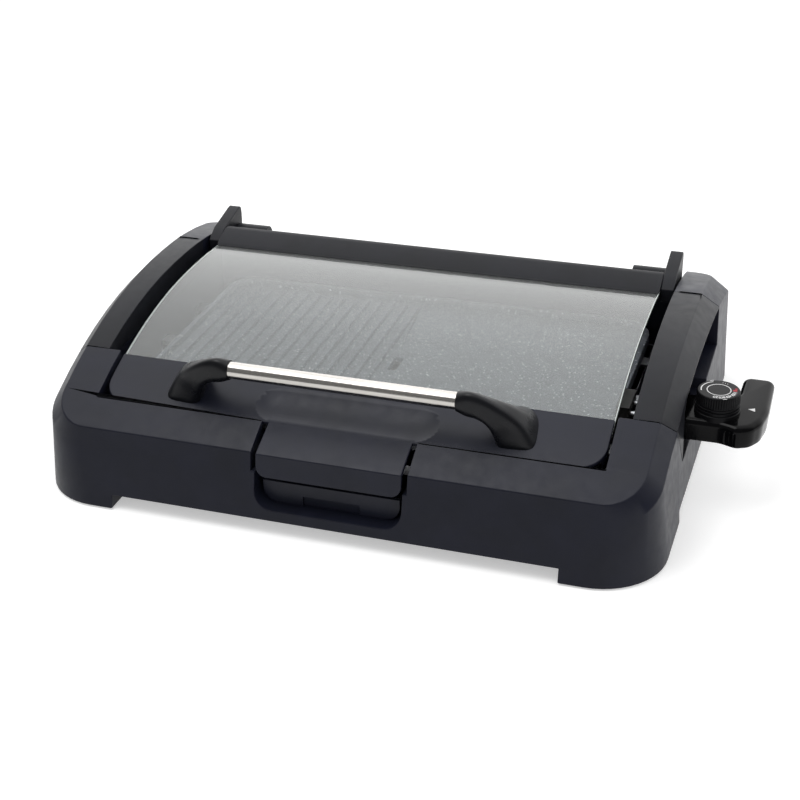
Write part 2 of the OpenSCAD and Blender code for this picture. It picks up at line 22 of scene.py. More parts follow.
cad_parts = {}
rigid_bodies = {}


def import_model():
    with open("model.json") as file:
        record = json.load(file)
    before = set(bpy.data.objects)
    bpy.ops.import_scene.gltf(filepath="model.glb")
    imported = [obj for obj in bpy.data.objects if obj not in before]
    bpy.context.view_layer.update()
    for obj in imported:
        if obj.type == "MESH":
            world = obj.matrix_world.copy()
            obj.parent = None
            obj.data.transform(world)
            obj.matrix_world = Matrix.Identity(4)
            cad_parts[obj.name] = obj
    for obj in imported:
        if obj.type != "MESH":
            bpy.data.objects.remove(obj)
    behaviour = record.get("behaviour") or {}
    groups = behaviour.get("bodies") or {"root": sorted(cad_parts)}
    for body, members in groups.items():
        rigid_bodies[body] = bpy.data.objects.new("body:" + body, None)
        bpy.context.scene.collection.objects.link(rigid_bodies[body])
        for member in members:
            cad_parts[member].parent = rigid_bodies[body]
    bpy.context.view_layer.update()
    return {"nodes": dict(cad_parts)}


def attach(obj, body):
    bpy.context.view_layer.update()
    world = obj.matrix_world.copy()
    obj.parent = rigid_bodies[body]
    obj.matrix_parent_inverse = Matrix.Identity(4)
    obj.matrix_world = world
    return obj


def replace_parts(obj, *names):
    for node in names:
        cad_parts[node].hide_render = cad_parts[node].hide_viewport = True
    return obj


LOG = logging.getLogger("grill")
MM = 0.001
# Where the frame's middle lies, measured from the middle of the front edge
ORIGIN_MM = np.array([27.5, 197.0, 0.0])
# Edges flatter than this are shaded smoothly, and steeper ones stay crisp
SMOOTH_BELOW_DEG = 32
# Corners closer than this, in metres, are one
MERGE_WITHIN = 1e-5
# Neighbouring triangles that turn less than this lie in one flat face
FLAT_BELOW_DEG = 0.4
# How far a large face outweighs its rounded edges when the shading is evened out
LARGE_FACE_WEIGHT = 90
# How strongly glass bends light
GLASS_IOR = 1.52
# Printed ink stands this far above its face and reaches as far into it, in millimetres
INK_MM = 0.05
# Degrees of a printed arc that one straight facet spans
ARC_STEP_DEG = 3
Array = np.ndarray
Tree = bpy.types.NodeTree
Socket = bpy.types.NodeSocket
Steps = Callable[[Tree, Socket], Socket]


def linear(colour: str) -> tuple[float, float, float, float]:
    """Turns an sRGB hex colour into linear light.

    Each channel c becomes c / 12.92 below 0.04045, else ((c + 0.055) / 1.055) ** 2.4.

    Args:
        colour: six hex digits.

    Returns:
        Red, green, blue and an alpha of 1.
    """
    raw = [int(colour[i : i + 2], 16) / 255 for i in (0, 2, 4)]
    light = [c / 12.92 if c <= 0.04045 else ((c + 0.055) / 1.055) ** 2.4 for c in raw]
    return (light[0], light[1], light[2], 1.0)


def in_frame(points_mm: Array) -> Array:
    """Moves points in millimetres about the front edge into the frame, in metres."""
    return (np.asarray(points_mm, float) - ORIGIN_MM) * MM


def add_node(
    tree: Tree, kind: str, settings: dict[str, object] | None = None, **inputs: object
) -> bpy.types.Node:
    """Adds a node with its settings, values and links.

    Args:
        tree: the node tree.
        kind: the node's type.
        settings: values of the node's own properties.
        **inputs: a socket's name, with underscores for spaces, or "i" and its number, and
            what goes in: a socket to link from, or a plain value.

    Returns:
        The new node.
    """
    node = tree.nodes.new(kind)
    for key, value in (settings or {}).items():
        setattr(node, key, value)
    for key, value in inputs.items():
        numbered = key[0] == "i" and key[1:].isdigit()
        socket = node.inputs[int(key[1:])] if numbered else node.inputs[key.replace("_", " ")]
        if isinstance(value, Socket):
            tree.links.new(value, socket)
        else:
            socket.default_value = value
    return node


def cleared_tree(owner: bpy.types.Material | bpy.types.World) -> Tree:
    """Turns on the nodes of a material or world and empties them.

    Args:
        owner: the material or world.

    Returns:
        Its node tree.
    """
    owner.use_nodes = True
    owner.node_tree.nodes.clear()
    return owner.node_tree


def into_scene(name: str, data: bpy.types.ID) -> bpy.types.Object:
    """Makes an object of its data and links it to the scene.

    Args:
        name: the object's name.
        data: a mesh, curve, lamp or camera.

    Returns:
        The object.
    """
    obj = bpy.data.objects.new(name, data)
    bpy.context.scene.collection.objects.link(obj)
    return obj


class Shader:
    """A new material with one Principled shader and the object's own coordinates."""

    def __init__(self, name: str) -> None:
        """Makes the material, its shader and its output.

        Args:
            name: what the material is.
        """
        self.material = bpy.data.materials.new(name)
        self.tree = cleared_tree(self.material)
        self.surface = add_node(self.tree, "ShaderNodeBsdfPrincipled")
        out = add_node(self.tree, "ShaderNodeOutputMaterial")
        self.tree.links.new(self.surface.outputs[0], out.inputs[0])
        self.place = add_node(self.tree, "ShaderNodeTexCoord").outputs["Object"]

    def constant(self, **values: object) -> None:
        """Sets values that are the same all over on the shader's own sockets."""
        for key, value in values.items():
            self.surface.inputs[key.replace("_", " ")].default_value = value

    def noise(self, size_mm: float, detail: float, stretch: Sequence[float] = (1, 1, 1)) -> Socket:
        """Adds an even noise on the object's own coordinates.

        Args:
            size_mm: width of its lumps.
            detail: octaves of finer noise on them.
            stretch: how many times longer than wide the lumps are along X, Y and Z.

        Returns:
            The socket with its value from 0 to 1.
        """
        scale = [1 / (size_mm * MM * s) for s in stretch]
        moved = add_node(self.tree, "ShaderNodeMapping", Vector=self.place, Scale=scale)
        return add_node(self.tree, "ShaderNodeTexNoise", Vector=moved.outputs[0], Scale=1.0,
                        Detail=detail).outputs[0]

    def ramp(
        self, value: Socket, low: str | float, high: str | float, start: float = 0.3,
        end: float = 0.7,
    ) -> Socket:
        """Runs from one tone to another as a noise rises.

        Args:
            value: the noise.
            low: hex colour or number below the start.
            high: hex colour or number above the end.
            start: where in the noise the change starts.
            end: where it is done.

        Returns:
            The socket with the tone.
        """
        node = add_node(self.tree, "ShaderNodeValToRGB", Fac=value)
        for element, place, tone in zip(node.color_ramp.elements, (start, end), (low, high)):
            element.position = place
            element.color = linear(tone) if isinstance(tone, str) else (tone, tone, tone, 1)
        return node.outputs[0]

    def into(self, socket: str, value: Socket) -> None:
        """Links a value to one of the shader's sockets."""
        self.tree.links.new(value, self.surface.inputs[socket])

    def bump(self, height: Socket, depth_mm: float) -> None:
        """Gives the surface a relief that is depth_mm deep from height 0 to 1."""
        node = add_node(self.tree, "ShaderNodeBump", Height=height, Distance=depth_mm * MM)
        self.into("Normal", node.outputs[0])


@dataclass(frozen=True)
class MouldedPlastic:
    """Injection-moulded thermoplastic with a fine spark-eroded grain and a soft sheen.

    The real grain is 0.1 to 0.2 mm wide, too fine to show, and is drawn several times coarser.
    """

    name: str
    colour: str
    shade: str
    roughness: float
    specular: float
    grain_mm: float = 0.9
    grain_depth_mm: float = 0.02
    cloud_mm: float = 38.0
    sheen_mm: float = 9.0
    smoother: float = 0.04
    rougher: float = 0.05

    def make(self) -> bpy.types.Material:
        """Builds the material: faint cloudy shade, grain in the relief, uneven sheen.

        Returns:
            The material.
        """
        s = Shader(self.name)
        cloud = s.noise(self.cloud_mm, detail=3)
        s.into("Base Color", s.ramp(cloud, self.shade, self.colour, start=0.35, end=0.65))
        sheen = s.noise(self.sheen_mm, detail=4)
        s.into("Roughness", s.ramp(sheen, self.roughness - self.smoother,
                                   self.roughness + self.rougher))
        s.constant(Specular_IOR_Level=self.specular)
        s.bump(s.noise(self.grain_mm, detail=2), self.grain_depth_mm)
        return s.material


@dataclass(frozen=True)
class BrushedSteel:
    """Stainless steel drawn through a brush along X, which gives fine lengthwise lines.

    The real lines are about 0.05 mm wide, too fine to show, and are drawn coarser.
    """

    name: str
    colour: str = "c9c6c1"
    shade: str = "a9a6a2"
    roughness: float = 0.14
    rougher: float = 0.08
    line_mm: float = 0.35
    line_stretch: float = 120.0
    line_depth_mm: float = 0.012

    def make(self) -> bpy.types.Material:
        """Builds the material: lines far longer than wide in shade, sheen and relief.

        Returns:
            The material.
        """
        s = Shader(self.name)
        lines = s.noise(self.line_mm, detail=3, stretch=(self.line_stretch, 1, 1))
        s.into("Base Color", s.ramp(lines, self.shade, self.colour))
        s.into("Roughness", s.ramp(lines, self.roughness, self.roughness + self.rougher))
        s.constant(Metallic=1.0)
        s.bump(lines, self.line_depth_mm)
        return s.material


@dataclass(frozen=True)
class PlainMetal:
    """Rolled, plated or turned metal with a faint mottle."""

    name: str
    colour: str
    shade: str
    roughness: float
    spot_mm: float = 6.0
    smoother: float = 0.05
    rougher: float = 0.08
    ripple_share: float = 0.2
    ripple_depth_mm: float = 0.01

    def make(self) -> bpy.types.Material:
        """Builds the material: mottled tone and sheen with a slight roll relief.

        Returns:
            The material.
        """
        s = Shader(self.name)
        spots = s.noise(self.spot_mm, detail=4)
        s.into("Base Color", s.ramp(spots, self.shade, self.colour))
        s.into("Roughness", s.ramp(spots, self.roughness - self.smoother,
                                   self.roughness + self.rougher))
        s.constant(Metallic=1.0)
        s.bump(s.noise(self.spot_mm * self.ripple_share, detail=2), self.ripple_depth_mm)
        return s.material


@dataclass(frozen=True)
class StoneCoating:
    """Cast aluminium under a sprayed grey non-stick coating with pale stone-like flecks."""

    name: str = "speckled_coating"
    colour: str = "72767d"
    shade: str = "62666c"
    fleck: str = "d5d8dd"
    fleck_mm: float = 1.7
    cell_per_fleck: float = 2.2
    largest_fleck: float = 0.34
    mottle_mm: float = 14.0
    uneven_mm: float = 3.5
    sheen_mm: float = 5.0
    smoothest: float = 0.42
    roughest: float = 0.55
    spray_mm: float = 1.1
    spray_depth_mm: float = 0.05

    def make(self) -> bpy.types.Material:
        """Builds the material: flecks over a soft mottle.

        A fleck is where the distance to a cell's middle is less than largest_fleck times an
        uneven noise, so that no two are of one size.

        Returns:
            The material.
        """
        s = Shader(self.name)
        t = s.tree
        mottle = s.ramp(s.noise(self.mottle_mm, detail=4), self.shade, self.colour)
        cells = add_node(t, "ShaderNodeTexVoronoi", Vector=s.place,
                         Scale=1 / (self.fleck_mm * self.cell_per_fleck * MM))
        size = s.noise(self.uneven_mm, detail=1)
        edge = add_node(t, "ShaderNodeMath", {"operation": "MULTIPLY"}, i0=size,
                        i1=self.largest_fleck)
        is_fleck = add_node(t, "ShaderNodeMath", {"operation": "LESS_THAN"},
                            i0=cells.outputs["Distance"], i1=edge.outputs[0])
        mixed = add_node(t, "ShaderNodeMix", {"data_type": "RGBA"}, i0=is_fleck.outputs[0],
                         i6=mottle, i7=linear(self.fleck))
        s.into("Base Color", mixed.outputs[2])
        sheen = s.noise(self.sheen_mm, detail=3)
        s.into("Roughness", s.ramp(sheen, self.smoothest, self.roughest))
        s.bump(s.noise(self.spray_mm, detail=3), self.spray_depth_mm)
        return s.material


@dataclass(frozen=True)
class TemperedGlass:
    """Clear float glass, bent and tempered, with a faint surface haze from its cooling, and a pale
    share that is not clear, which paints a reflection veil over it.
    """

    name: str = "tempered_glass"
    # Faint tint of the glass, which is also the colour of the painted reflection veil on the share
    # that is not clear
    tint_and_painted_veil: str = "f4f8f7"
    clear_share: float = 0.94
    haze_mm: float = 45.0
    smoothest: float = 0.02
    roughest: float = 0.05

    def make(self) -> bpy.types.Material:
        """Builds the material: clear, with a haze that varies a little in strength, and a painted
        reflection veil from the pale share that is not clear.

        Returns:
            The material.
        """
        s = Shader(self.name)
        haze = s.noise(self.haze_mm, detail=2)
        s.into("Roughness", s.ramp(haze, self.smoothest, self.roughest))
        # The share that is not clear shows the pale tint as a painted reflection veil
        s.constant(Base_Color=linear(self.tint_and_painted_veil), IOR=GLASS_IOR,
                   Transmission_Weight=self.clear_share)
        return s.material


@dataclass(frozen=True)
class GroundEdge:
    """The edge of a pane, ground and polished with a belt, which scatters light and shows pale."""

    name: str = "ground_glass_edge"
    colour: str = "e6ece9"
    shade: str = "cfd8d4"
    roughness: float = 0.35
    grit_mm: float = 0.5
    grit_depth_mm: float = 0.02

    def make(self) -> bpy.types.Material:
        """Builds the material: pale, with the marks of the grit in tone and relief.

        Returns:
            The material.
        """
        s = Shader(self.name)
        marks = s.noise(self.grit_mm, detail=3)
        s.into("Base Color", s.ramp(marks, self.shade, self.colour))
        s.constant(Roughness=self.roughness, IOR=GLASS_IOR)
        s.bump(marks, self.grit_depth_mm)
        return s.material


@dataclass(frozen=True)
class PadPrint:
    """Matt ink printed on the moulding."""

    name: str
    colour: str
    thin: str
    roughness: float = 0.6
    specular: float = 0.3
    patch_mm: float = 0.8

    def make(self) -> bpy.types.Material:
        """Builds the material: ink that covers a little less in places.

        Returns:
            The material.
        """
        s = Shader(self.name)
        patches = s.noise(self.patch_mm, detail=2)
        s.into("Base Color", s.ramp(patches, self.thin, self.colour, start=0.2, end=0.6))
        s.constant(Roughness=self.roughness, Specular_IOR_Level=self.specular)
        return s.material


class Finish(Enum):
    """The finishes of the grill, each with its recipe."""

    # Eroded polypropylene and its like: nearly black with a blue cast and a wide dull sheen
    BODY = MouldedPlastic(
        "matt_black_polypropylene", "171925", "141620", roughness=0.4, specular=0.2)
    ARM = MouldedPlastic("matt_black_arm", "1b1c21", "17181c", roughness=0.4, specular=0.15)
    LID = MouldedPlastic("matt_black_lid", "191b27", "161822", roughness=0.38, specular=0.22)
    # Phenolic from a finely lapped mould: darker, with a narrower highlight
    SATIN = MouldedPlastic(
        "satin_black_handle", "0f1014", "0c0d10", roughness=0.3, specular=0.22,
        grain_mm=0.8, grain_depth_mm=0.012)
    DIAL = MouldedPlastic(
        "satin_black_knob", "111113", "0e0e10", roughness=0.3, specular=0.08,
        grain_mm=0.8, grain_depth_mm=0.006)
    # Phenolic from a polished mould: black, and bright only where it mirrors a lamp or the room
    GLOSS = MouldedPlastic(
        "gloss_black_phenolic", "08080a", "060607", roughness=0.12, specular=0.1,
        grain_mm=2.5, grain_depth_mm=0.002)
    # Pressed rubber: dead matt and a little rough
    RUBBER = MouldedPlastic(
        "black_rubber", "141414", "101010", roughness=0.75, specular=0.2,
        grain_mm=0.7, grain_depth_mm=0.06)
    # Brown-black moulding that stands the heat of the terminals: matt, faintly grainy
    HEATPROOF = MouldedPlastic(
        "dark_terminal_moulding", "2b2a29", "232221", roughness=0.55, specular=0.3,
        grain_mm=1.2, grain_depth_mm=0.03)
    # Handle tube: light and dark bands along it, a little blurred by the brushing
    STEEL = BrushedSteel("brushed_stainless")
    # Screws and pins, sheet, sleeves and heater: plain metals, each with a faint mottle
    ZINC = PlainMetal("bright_zinc_plate", "c4c6c8", "a8abae", roughness=0.34)
    PLATED = PlainMetal("aluminised_sheet", "b9babd", "9c9da1", roughness=0.38, spot_mm=12)
    BRASS = PlainMetal("turned_brass", "c7a35a", "a98543", roughness=0.3)
    SHEATH = PlainMetal("oxidised_heater_sheath", "4a4743", "35322f", roughness=0.5)
    # Cooking plate: mid grey with a dull sheen and pale flecks
    STONE = StoneCoating()
    # Lid pane: clear with a pale painted reflection veil, and a pale line along its edge
    GLASS = TemperedGlass()
    GLASS_EDGE = GroundEdge()
    # Ink on the control: flat tone without shine
    WHITE_PRINT = PadPrint("white_print", "e4e4e4", "d2d2d2")
    RED_PRINT = PadPrint("red_print", "a8303a", "8e2830")

    def material(self) -> bpy.types.Material:
        """Returns the finish's material, made once."""
        return bpy.data.materials.get(self.value.name) or self.value.make()


def dress(obj: bpy.types.Object, finish: Finish) -> None:
    """Puts one finish on the whole object."""
    obj.data.materials.clear()
    obj.data.materials.append(finish.material())


def any_of(tree: Tree, *values: Socket) -> Socket:
    """Joins yes-or-no values: the greatest of them, worked out two at a time.

    Args:
        tree: the node tree.
        *values: sockets that are 0 or 1.

    Returns:
        The socket that is 1 where any of them is.
    """
    found = values[0]
    for value in values[1:]:
        found = add_node(tree, "ShaderNodeMath", {"operation": "MAXIMUM"}, i0=found,
                         i1=value).outputs[0]
    return found


def geometry_group(name: str, steps: Steps) -> Tree:
    """Makes a geometry group the first time and finds it again afterwards.

    Args:
        name: the group's name.
        steps: adds the group's own nodes to its tree, after the geometry that comes in, and
            returns the geometry that goes out.

    Returns:
        The node group.
    """
    if name in bpy.data.node_groups:
        return bpy.data.node_groups[name]
    tree = bpy.data.node_groups.new(name, "GeometryNodeTree")
    for way in ("INPUT", "OUTPUT"):
        tree.interface.new_socket("Geometry", in_out=way, socket_type="NodeSocketGeometry")
    source = add_node(tree, "NodeGroupInput").outputs[0]
    add_node(tree, "NodeGroupOutput", i0=steps(tree, source))
    return tree


def join_triangles(tree: Tree, source: Socket) -> Socket:
    """Joins a mesh's loose triangles and drops the normals that were stored with them.

    Args:
        tree: the group's tree.
        source: the geometry that comes in.

    Returns:
        The geometry that goes out.
    """
    bare = add_node(tree, "GeometryNodeRemoveAttribute", Geometry=source, Name="custom_normal")
    return add_node(tree, "GeometryNodeMergeByDistance", Geometry=bare.outputs[0],
                    Distance=MERGE_WITHIN).outputs[0]


def smooth_flat_edges(tree: Tree, source: Socket) -> Socket:
    """Shades smoothly over every edge but those that turn more than the smoothing angle.

    Args:
        tree: the group's tree.
        source: the geometry that comes in.

    Returns:
        The geometry that goes out.
    """
    smooth = add_node(tree, "GeometryNodeSetShadeSmooth", Geometry=source, Shade_Smooth=True)
    turn = add_node(tree, "GeometryNodeInputMeshEdgeAngle").outputs["Unsigned Angle"]
    steep = add_node(tree, "FunctionNodeCompare", {"operation": "GREATER_THAN"}, i0=turn,
                     i1=math.radians(SMOOTH_BELOW_DEG))
    return add_node(tree, "GeometryNodeSetShadeSmooth", {"domain": "EDGE"},
                    Geometry=smooth.outputs[0], Selection=steep.outputs[0],
                    Shade_Smooth=False).outputs[0]


def add_group(obj: bpy.types.Object, name: str, steps: Steps) -> None:
    """Adds a live modifier with the geometry group that these steps make."""
    obj.modifiers.new(name, "NODES").node_group = geometry_group(name, steps)


def soften(
    obj: bpy.types.Object, radius_mm: float, steps: int = 2, from_deg: float = 28.0,
    ground: bool = False, whole_faces: bool = True,
) -> None:
    """Rounds the object's edges as a mould or a deburring wheel does, with live modifiers.

    Where edges are rounded, the large faces then set the direction of the shading at their
    borders, so that they look flat and the roundings alone catch the light.

    Args:
        obj: a solid's object.
        radius_mm: width of the rounding; none is made where it is 0.
        steps: facets across the rounding.
        from_deg: edges that turn less than this stay as they are.
        ground: whether the rounding takes the object's second finish.
        whole_faces: whether the triangles of a flat face are first made one; a face with many
            openings stays in triangles.
    """
    add_group(obj, "join_triangles", join_triangles)
    if whole_faces:
        flat = obj.modifiers.new("flat_faces", "DECIMATE")
        flat.decimate_type = "DISSOLVE"
        flat.angle_limit = math.radians(FLAT_BELOW_DEG)
    if radius_mm > 0:
        edge = obj.modifiers.new("rounding", "BEVEL")
        edge.width = radius_mm * MM
        edge.segments = steps
        edge.limit_method = "ANGLE"
        edge.angle_limit = math.radians(from_deg)
        edge.use_clamp_overlap = False
        edge.miter_outer = "MITER_ARC"
        edge.material = 1 if ground else -1
    add_group(obj, "smooth_flat_edges", smooth_flat_edges)
    if radius_mm > 0:
        even = obj.modifiers.new("even_shade", "WEIGHTED_NORMAL")
        even.keep_sharp = True
        even.weight = LARGE_FACE_WEIGHT


def grid_faces(rows: int, columns: int, looped: bool) -> list[list[int]]:
    """Lists the quads between rings of points, ring by ring.

    Args:
        rows: how many rings there are.
        columns: points in each ring, whose last one joins the first.
        looped: whether the last ring joins the first.

    Returns:
        Corner numbers (i, j), (i, j+1), (i+1, j+1), (i+1, j) of each quad.
    """
    i, j = np.meshgrid(np.arange(rows - (not looped)), np.arange(columns), indexing="ij")
    k, m = (j + 1) % columns, (i + 1) % rows
    quads = np.stack([i * columns + j, i * columns + k, m * columns + k, m * columns + j], -1)
    return quads.reshape(-1, 4).tolist()


@dataclass
class Shell:
    """A closed surface: its corners in millimetres and its faces."""

    points: Array
    faces: list[list[int]]

    @classmethod
    def tube(cls, rings: Array, looped: bool = False) -> Shell:
        """Joins rings of points into a tube and closes its two ends.

        Args:
            rings: an array of rings, each a closed row of points in millimetres.
            looped: whether the last ring joins the first, as in a hoop.

        Returns:
            The shell.
        """
        rows, columns = rings.shape[:2]
        faces = grid_faces(rows, columns, looped)
        if not looped:
            first = list(range(columns))
            faces += [first[::-1], [(rows - 1) * columns + k for k in first]]
        return cls(rings.reshape(-1, 3), faces)

    @classmethod
    def joined(cls, shells: Sequence[Shell]) -> Shell:
        """Puts several shells into one mesh without welding them.

        Args:
            shells: the shells.

        Returns:
            One shell with all their corners and faces.
        """
        starts = np.cumsum([0] + [len(shell.points) for shell in shells])
        faces = [[int(start) + k for k in face]
                 for start, shell in zip(starts, shells) for face in shell.faces]
        return cls(np.concatenate([shell.points for shell in shells]), faces)


def new_piece(name: str, shell: Shell, body: str, finish: Finish) -> bpy.types.Object:
    """Makes a mesh object in the frame, turns its faces outwards and lets it ride on a body.

    Args:
        name: the piece's name.
        shell: its surface, in millimetres about the front edge.
        body: the moving body it belongs to.
        finish: its finish.

    Returns:
        The object.
    """
    mesh = bpy.data.meshes.new(name)
    mesh.from_pydata(in_frame(shell.points).tolist(), [], shell.faces)
    mesh.validate()
    work = bmesh.new()
    work.from_mesh(mesh)
    bmesh.ops.recalc_face_normals(work, faces=work.faces)
    work.to_mesh(mesh)
    work.free()
    obj = into_scene(name, mesh)
    dress(obj, finish)
    add_group(obj, "smooth_flat_edges", smooth_flat_edges)
    LOG.info("%s: %s, %d faces", name, finish.name, len(shell.faces))
    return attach(obj, body)


def smooth_through(stations: Array, t: Array) -> Array:
    """Draws a smooth curve through stations.

    Between stations b and c, whose neighbours are a and d, it is the Catmull-Rom cubic
    (2b + (c - a)s + (2a - 5b + 4c - d)s^2 + (3b - a - 3c + d)s^3) / 2, with s from 0 to 1.
    Beyond an end the neighbour is the end's mirror image.

    Args:
        stations: the points, one per whole number of the parameter from 0.
        t: parameters at which the curve is wanted.

    Returns:
        The curve's points.
    """
    p = np.concatenate([[2 * stations[0] - stations[1]], stations,
                        [2 * stations[-1] - stations[-2]]])
    i = np.clip(t.astype(int), 0, len(stations) - 2)
    s = (t - i).reshape(-1, *[1] * (stations.ndim - 1))
    a, b, c, d = p[i], p[i + 1], p[i + 2], p[i + 3]
    return (2 * b + (c - a) * s + (2 * a - 5 * b + 4 * c - d) * s**2
            + (3 * b - a - 3 * c + d) * s**3) / 2


@dataclass(frozen=True)
class Arch:
    """The arched line that the rim follows from front to back, and the lid below it."""

    # Height and place of the highest point, the drop from there to the front edge, the place
    # of that edge, the power of the curve, and the step down to the lid
    top: float = 127.0
    top_y: float = 240.0
    drop: float = 59.0
    front: float = 15.0
    power: float = 2.2
    lid_step: float = 3.0

    def rim(self, y: Array) -> Array:
        """Returns the rim's height: top - drop * (|y - top_y| / (top_y - front)) ^ power."""
        share = np.abs(np.asarray(y, float) - self.top_y) / (self.top_y - self.front)
        return self.top - self.drop * share**self.power

    def lid(self, y: Array) -> Array:
        """Returns the height of the lid's upper face, a step below the rim."""
        return self.rim(y) - self.lid_step


ARCH = Arch()


@dataclass
class HandleBracket:
    """A leaf-shaped foot on the lid panel that narrows, bends over and takes the tube's end.

    Four guide lines run from the tube to the panel: the edge of the arch in front, the ridge
    above it, the back and the hidden web. Each section is a rounded quadrangle between them.
    """

    name: str
    node: str
    side: int
    arch: Sequence[Sequence[float]] = (
        (95, 46.3, 113.3), (103, 46, 110.5), (110.5, 46.2, 109), (117, 47, 105.5),
        (121.7, 48.8, 99.5), (124.8, 51, 91.5), (126.6, 53, 84.7))
    ridge: Sequence[Sequence[float]] = (
        (95, 46.3, 124.7), (105, 45.4, 127.6), (115.5, 46, 125.3), (126.4, 47.8, 118.9),
        (136.4, 50, 110.4), (146, 53, 99.8), (155, 54, 85.4))
    back: Sequence[Sequence[float]] = (
        (95, 57.7, 124.7), (105, 56.4, 125.2), (115.5, 58.6, 122.6), (126.5, 62, 118.6),
        (137.5, 66.5, 113.2), (146, 74.5, 105), (151.5, 83.5, 97.4))
    web: Sequence[Sequence[float]] = (
        (95, 57.7, 113.3), (103.5, 58, 112), (111, 60, 110), (118, 65, 107.5),
        (123.5, 72, 105), (128, 80, 102.5), (132, 88, 99))
    # Powers of the sections' front and back, at the tube and at the panel
    front_power: tuple[float, float] = (2.0, 4.4)
    back_power: tuple[float, float] = (2.0, 2.7)
    # Where the sections start along the guide lines, and how far the last is sunk in the panel
    start: float = 0.12
    sunk: float = 0.6
    # Lip round the tube's end: scale of each ring and how far inwards it stands
    lip: Sequence[tuple[float, float]] = ((0.90, 0.9), (0.975, 0.65))
    rows: int = 72
    columns: int = 80

    def rings(self) -> Array:
        """Works out the sections.

        With u and v running round the superellipse |u|^n + |v|^n = 1, a section's point is
        M + uU + vV + uvW. The four vectors are such that the superellipse's diagonal points,
        where |u| = |v| = k = 2 ^ (-1/n), lie on the guide lines. The power n grows from 2, a
        circle at the tube, to a squarer front and a rounder back at the panel.

        Returns:
            Rings of points in millimetres, for the right-hand side.
        """
        lines = np.array([self.arch, self.ridge, self.back, self.web], float)
        t = np.linspace(self.start, lines.shape[1] - 1, self.rows)
        corners = smooth_through(lines.transpose(1, 0, 2), t)[:, :, None, :]
        a, b, c, d = (corners[:, k] for k in range(4))
        share = (t / t[-1])[:, None]
        grown = share * share * (3 - 2 * share)
        front, back = (low + (high - low) * grown
                       for low, high in (self.front_power, self.back_power))
        angle = np.linspace(0, 2 * math.pi, self.columns, endpoint=False)[None]
        power = np.where(np.sin(angle) < 0, front, back)
        u, v = (np.sign(w) * np.abs(w) ** (2 / power) for w in (np.cos(angle), np.sin(angle)))
        kf, kb = (2 ** (-1 / n)[..., None] for n in (front, back))
        bend = ((c - d) / (2 * kb) - (b - a) / (2 * kf)) / (kf + kb)
        wide = (b - a) / (2 * kf) + kf * bend
        deep = ((c + d) - (a + b)) / 2 / (kf + kb)
        middle = (a + b) / 2 + kf * deep
        u, v = u[..., None], v[..., None]
        rings = middle + u * wide + v * deep + u * v * bend
        rings[-1, :, 2] = ARCH.lid(rings[-1, :, 1]) - self.sunk
        centre = rings[0].mean(0)
        lip = [centre + (rings[0] - centre) * scale - (inwards, 0, 0)
               for scale, inwards in self.lip]
        return np.concatenate([lip, rings])

    def build(self) -> None:
        """Builds the bracket in place of its solid."""
        rings = self.rings() * (self.side, 1, 1)
        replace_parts(new_piece(self.name, Shell.tube(rings), "lid", Finish.SATIN),
                    self.node)


def lathe(profile: Array, centre: tuple[float, float], columns: int) -> Array:
    """Turns a profile about an upright axis.

    Args:
        profile: rows of radius and height in millimetres.
        centre: place of the axis in plan.
        columns: points round the axis.

    Returns:
        Rings of points: the centre plus radius times (cos a, sin a), at the row's height.
    """
    angle = np.linspace(0, 2 * math.pi, columns, endpoint=False)
    r, z = profile[:, :1], profile[:, 1:2]
    return np.stack([centre[0] + r * np.cos(angle), centre[1] + r * np.sin(angle),
                     np.broadcast_to(z, (len(profile), columns))], -1)


def arc_strip(centre: Sequence[float], radii: tuple[float, float],
              degrees: tuple[float, float]) -> Shell:
    """Makes a thin printed stroke between two radii and two angles, lying on a level face.

    A point at radius r and angle a is the centre plus (r cos a, r sin a), with the ink's
    thickness above and below the face.

    Args:
        centre: place of the arcs' middle on the face.
        radii: inner and outer radius.
        degrees: where the stroke starts and ends, anticlockwise from +X; 360 apart is a hoop.

    Returns:
        The shell.
    """
    whole = abs(degrees[1] - degrees[0]) >= 360
    steps = max(4, int(abs(degrees[1] - degrees[0]) / ARC_STEP_DEG))
    angle = np.radians(np.linspace(*degrees, steps, endpoint=not whole))[:, None]
    r = np.array([radii[0], radii[1], radii[1], radii[0]])[None]
    z = centre[2] + np.array([-INK_MM, -INK_MM, INK_MM, INK_MM])[None]
    rings = np.stack([centre[0] + r * np.cos(angle), centre[1] + r * np.sin(angle),
                      np.broadcast_to(z, (steps, 4))], -1)
    return Shell.tube(rings, looped=whole)


